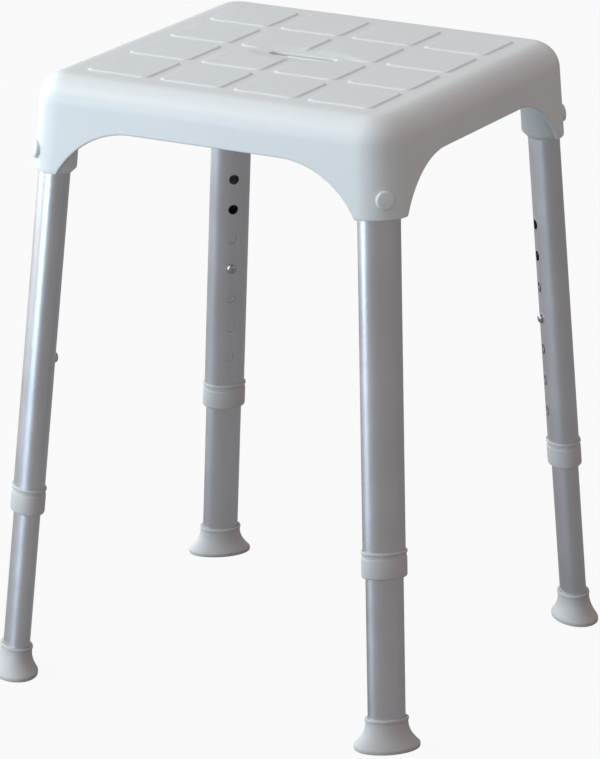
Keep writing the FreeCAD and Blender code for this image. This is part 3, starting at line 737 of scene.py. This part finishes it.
def add_cap(leg, place, tube_top):
    """The round cap over a socket's screw: soft edge, faint dome."""
    face = TUBE_DEPTH / 2 + SOCKET_WALL
    radius = 6.8
    edge = 1.3
    profile = [(face - 1.6, radius), (face + 2.2 - edge, radius)]
    for step in range(1, 7):
        angle = math.pi / 2 * step / 6
        profile.append((face + 2.2 - edge * (1 - math.sin(angle)), radius - edge * (1 - math.cos(angle))))
    for share in (0.8, 0.6, 0.4, 0.2, 0.02):
        inner = (radius - edge) * share
        profile.append((face + 2.2 + 0.35 * (1 - share ** 2), inner))
    rings = [(height, size, size, 0.0, 0.0) for height, size in profile]
    where = sideways(place, tube_top - SOCKET_LENGTH + 15.0, outer=True)
    vertices, faces = turned(where, rings, 64, closed=False)
    piece = add_piece("screw_cap_" + leg, vertices, faces, "seat", cap_plastic)
    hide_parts("cover_cap_" + leg)


def add_button(leg, place, tube_foot):
    """The snap button: a flange inside the tube and a domed pin through both walls."""
    tip = TUBE_DEPTH / 2 + 2.5
    pin = 3.9
    flange = 5.3
    back = 6.35
    profile = [(back, 0.01), (back, flange - 0.2), (back + 0.2, flange), (back + 0.8, flange),
               (back + 1.0, flange - 0.2), (back + 1.0, pin)]
    dome = 2.3
    for step in range(0, 9):
        angle = math.pi / 2 * step / 8
        profile.append((tip - dome * (1 - math.sin(angle)), 0.01 + (pin - 0.01) * math.cos(angle) ** 0.7))
    rings = [(height, size, size, 0.0, 0.0) for height, size in profile]
    where = sideways(place, tube_foot + 42.0 + 75.0, outer=False)
    vertices, faces = turned(where, rings, 48, closed=False)
    piece = add_piece("domed_button_" + leg, vertices, faces, "button_" + leg, button_steel)
    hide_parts("snap_button_" + leg)


def add_spring(leg, place, tube_foot):
    """The leaf spring behind the button: a V made as one fixed shape that rides on no body. On the stool its near
    arm swings in as the button is pressed.
    """
    wall, width, bevel = 0.6, 7.6, 0.1
    far, near = -7.52, 5.75
    head, fold, bend = 5.3, -39.7, 3.4
    lean = math.atan2(near - far - 2 * bend, head - fold)
    path = [(head, far, 0.0)]
    for step in range(0, 17):
        angle = (math.pi + lean) * step / 16
        path.append((fold - bend * math.sin(angle), far + bend * (1 - math.cos(angle)), angle))
    path.append((head, near, math.pi + lean))
    half_wall, half_width = wall / 2, width / 2
    outline = []
    for side, edge in ((1, 1), (-1, 1), (-1, -1), (1, -1)):
        corner = [(half_wall - bevel, half_width), (half_wall, half_width - bevel)]
        for thick, wide in corner if side * edge < 0 else reversed(corner):
            outline.append((side * thick, edge * wide))
    where = sideways(place, tube_foot + 42.0 + 75.0, outer=False)
    vertices = []
    for height, depth, angle in path:
        for thick, wide in outline:
            point = Vector((height + thick * math.sin(angle), wide, depth + thick * math.cos(angle)))
            vertices.append(where @ point)
    count = len(outline)
    faces = ring_faces(len(path), count)
    faces.append(tuple(reversed(range(count))))
    faces.append(tuple(range(len(vertices) - count, len(vertices))))
    piece = add_piece("leaf_spring_" + leg, points(vertices), faces, None, plain_steel)
    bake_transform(piece)
    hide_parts("button_spring_" + leg)


# ---------------------------------------------------------------- putting it together

places = {leg: leg_place(leg) for leg in LEGS}
first_place, first_foot, first_top = places["back_right"]
leg_foot_reach = math.hypot(first_place.translation.x, first_place.translation.y)
socket_mouth = first_top - SOCKET_LENGTH

seat_vertices, seat_faces = build_seat_skin()
add_ribs(seat_vertices, seat_faces)
for leg_name in LEGS:
    add_sleeve(seat_vertices, seat_faces, places[leg_name][0], places[leg_name][2])
seat = add_piece(
    "moulded_seat", points(seat_vertices), seat_faces, "seat", seat_plastic, crease=50.0
)
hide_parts("seat_shell")

for leg_name in LEGS:
    leg_frame, tube_foot_height, tube_top_height = places[leg_name]
    add_collar(leg_name, leg_frame, tube_foot_height)
    add_foot(leg_name, leg_frame)
    add_cap(leg_name, leg_frame, tube_top_height)
    add_button(leg_name, leg_frame, tube_foot_height)
    add_spring(leg_name, leg_frame, tube_foot_height)

for node_name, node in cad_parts.items():
    leg_name = next((leg for leg in LEGS if node_name.endswith(leg)), None)
    if node_name.startswith(("outer_tube", "inner_tube")):
        finish = tube_aluminium[leg_name]
    elif node_name.startswith(("foot_washer", "socket_screw")):
        finish = plain_steel
    else:
        continue
    for slot_index in range(len(node.material_slots)):
        node.material_slots[slot_index].material = finish


# ---------------------------------------------------------------- camera, floor and light

scene = bpy.context.scene


def add_camera():
    data = bpy.data.cameras.new("studio_camera")
    data.lens = 243.6
    data.sensor_width = 36.0
    data.clip_end = 50.0
    camera = bpy.data.objects.new("studio_camera", data)
    camera.location = (1.7531, -3.2625, 1.3732)
    aim = Vector((0.01356, -0.02659, 0.22196))
    level = (aim - camera.location).to_track_quat("-Z", "Y")
    camera.rotation_mode = "QUATERNION"
    camera.rotation_quaternion = level @ Matrix.Rotation(math.radians(0.4), 3, "Z").to_quaternion()
    scene.collection.objects.link(camera)
    scene.camera = camera


def add_floor(height):
    """A plain pale floor under the lowest foot. It shows white, with a soft shadow left in it."""
    size = 12.0
    mesh = bpy.data.meshes.new("studio_floor")
    corners = [(x * size, y * size, height) for x, y in ((-1, -1), (1, -1), (1, 1), (-1, 1))]
    mesh.from_pydata(corners, [], [(0, 1, 2, 3)])
    floor = bpy.data.objects.new("studio_floor", mesh)
    scene.collection.objects.link(floor)
    material = bpy.data.materials.new("floor_white")
    material.use_nodes = True
    tree = material.node_tree
    shader = tree.nodes["Principled BSDF"]
    shader.inputs["Base Color"].default_value = (0.3, 0.3, 0.3, 1)
    shader.inputs["Roughness"].default_value = 0.9
    shader.inputs["Specular IOR Level"].default_value = 0.1
    paper = add_node(tree, "Emission", {"Color": (1, 1, 1, 1), "Strength": 1.0})
    ray = add_node(tree, "LightPath")
    share = add_node(tree, "Math", {0: ray.outputs["Is Camera Ray"], 1: 0.93}, operation="MULTIPLY")
    mixed = add_node(tree, "MixShader", {0: share.outputs[0]})
    tree.links.new(shader.outputs[0], mixed.inputs[1])
    tree.links.new(paper.outputs[0], mixed.inputs[2])
    tree.links.new(mixed.outputs[0], tree.nodes["Material Output"].inputs["Surface"])
    mesh.materials.append(material)


def add_world():
    """Soft surroundings, bright on the left and dim and warm on the right, and plain white behind the stool."""
    world = bpy.data.worlds.new("studio")
    scene.world = world
    world.use_nodes = True
    tree = world.node_tree
    room = tree.nodes["Background"]
    where = add_node(tree, "TexCoord").outputs["Generated"]
    side = add_node(tree, "VectorMath", {0: where, 1: (-0.87, -0.37, 0.32)}, operation="DOT_PRODUCT")
    ramp = add_node(tree, "ValToRGB")
    shift = add_node(tree, "MapRange", {"Value": side.outputs["Value"], "From Min": -1.0, "From Max": 1.0})
    tree.links.new(shift.outputs["Result"], ramp.inputs["Fac"])
    stops = ramp.color_ramp.elements
    stops[0].position, stops[0].color = 0.1, (0.45, 0.375, 0.35, 1)
    stops[1].position, stops[1].color = 0.84, (1.0, 1.04, 1.07, 1)
    for place, shade in ((0.5, (0.405, 0.355, 0.34, 1)), (0.66, (0.50, 0.52, 0.57, 1))):
        stops.new(place).color = shade
    tree.links.new(ramp.outputs["Color"], room.inputs["Color"])
    room.inputs["Strength"].default_value = 1.0
    white = add_node(tree, "Background", {"Color": (1, 1, 1, 1), "Strength": 1.0})
    ray = add_node(tree, "LightPath")
    mixed = add_node(tree, "MixShader", {0: ray.outputs["Is Camera Ray"]})
    tree.links.new(room.outputs[0], mixed.inputs[1])
    tree.links.new(white.outputs[0], mixed.inputs[2])
    tree.links.new(mixed.outputs[0], tree.nodes["World Output"].inputs["Surface"])


def add_softbox(name, azimuth, elevation, distance, size, power, colour):
    """A rectangular lamp that faces the seat. Azimuth 0 is in front of the stool, 90 to its right."""
    data = bpy.data.lights.new(name, "AREA")
    data.shape = "RECTANGLE"
    data.size, data.size_y = size
    data.energy = power
    data.color = colour
    lamp = bpy.data.objects.new(name, data)
    turn, rise = math.radians(azimuth), math.radians(elevation)
    toward = Vector((math.sin(turn) * math.cos(rise), -math.cos(turn) * math.cos(rise), math.sin(rise)))
    middle = Vector((0, 0, 0.3))
    lamp.location = middle + toward * distance
    lamp.rotation_mode = "QUATERNION"
    lamp.rotation_quaternion = (-toward).to_track_quat("-Z", "Y")
    scene.collection.objects.link(lamp)


add_camera()
add_floor(cad_box[0].z)
add_world()
add_softbox("window", -52.0, 38.0, 2.6, (1.4, 1.2), 17.0, (1.0, 0.99, 0.93))
add_softbox("low_sky", -40.0, 4.0, 2.8, (1.4, 1.0), 25.0, (0.60, 0.79, 1.0))
add_softbox("side_window", -100.0, 8.0, 2.2, (2.6, 1.6), 29.0, (0.95, 0.98, 1.0))

scene.view_settings.view_transform = "Standard"
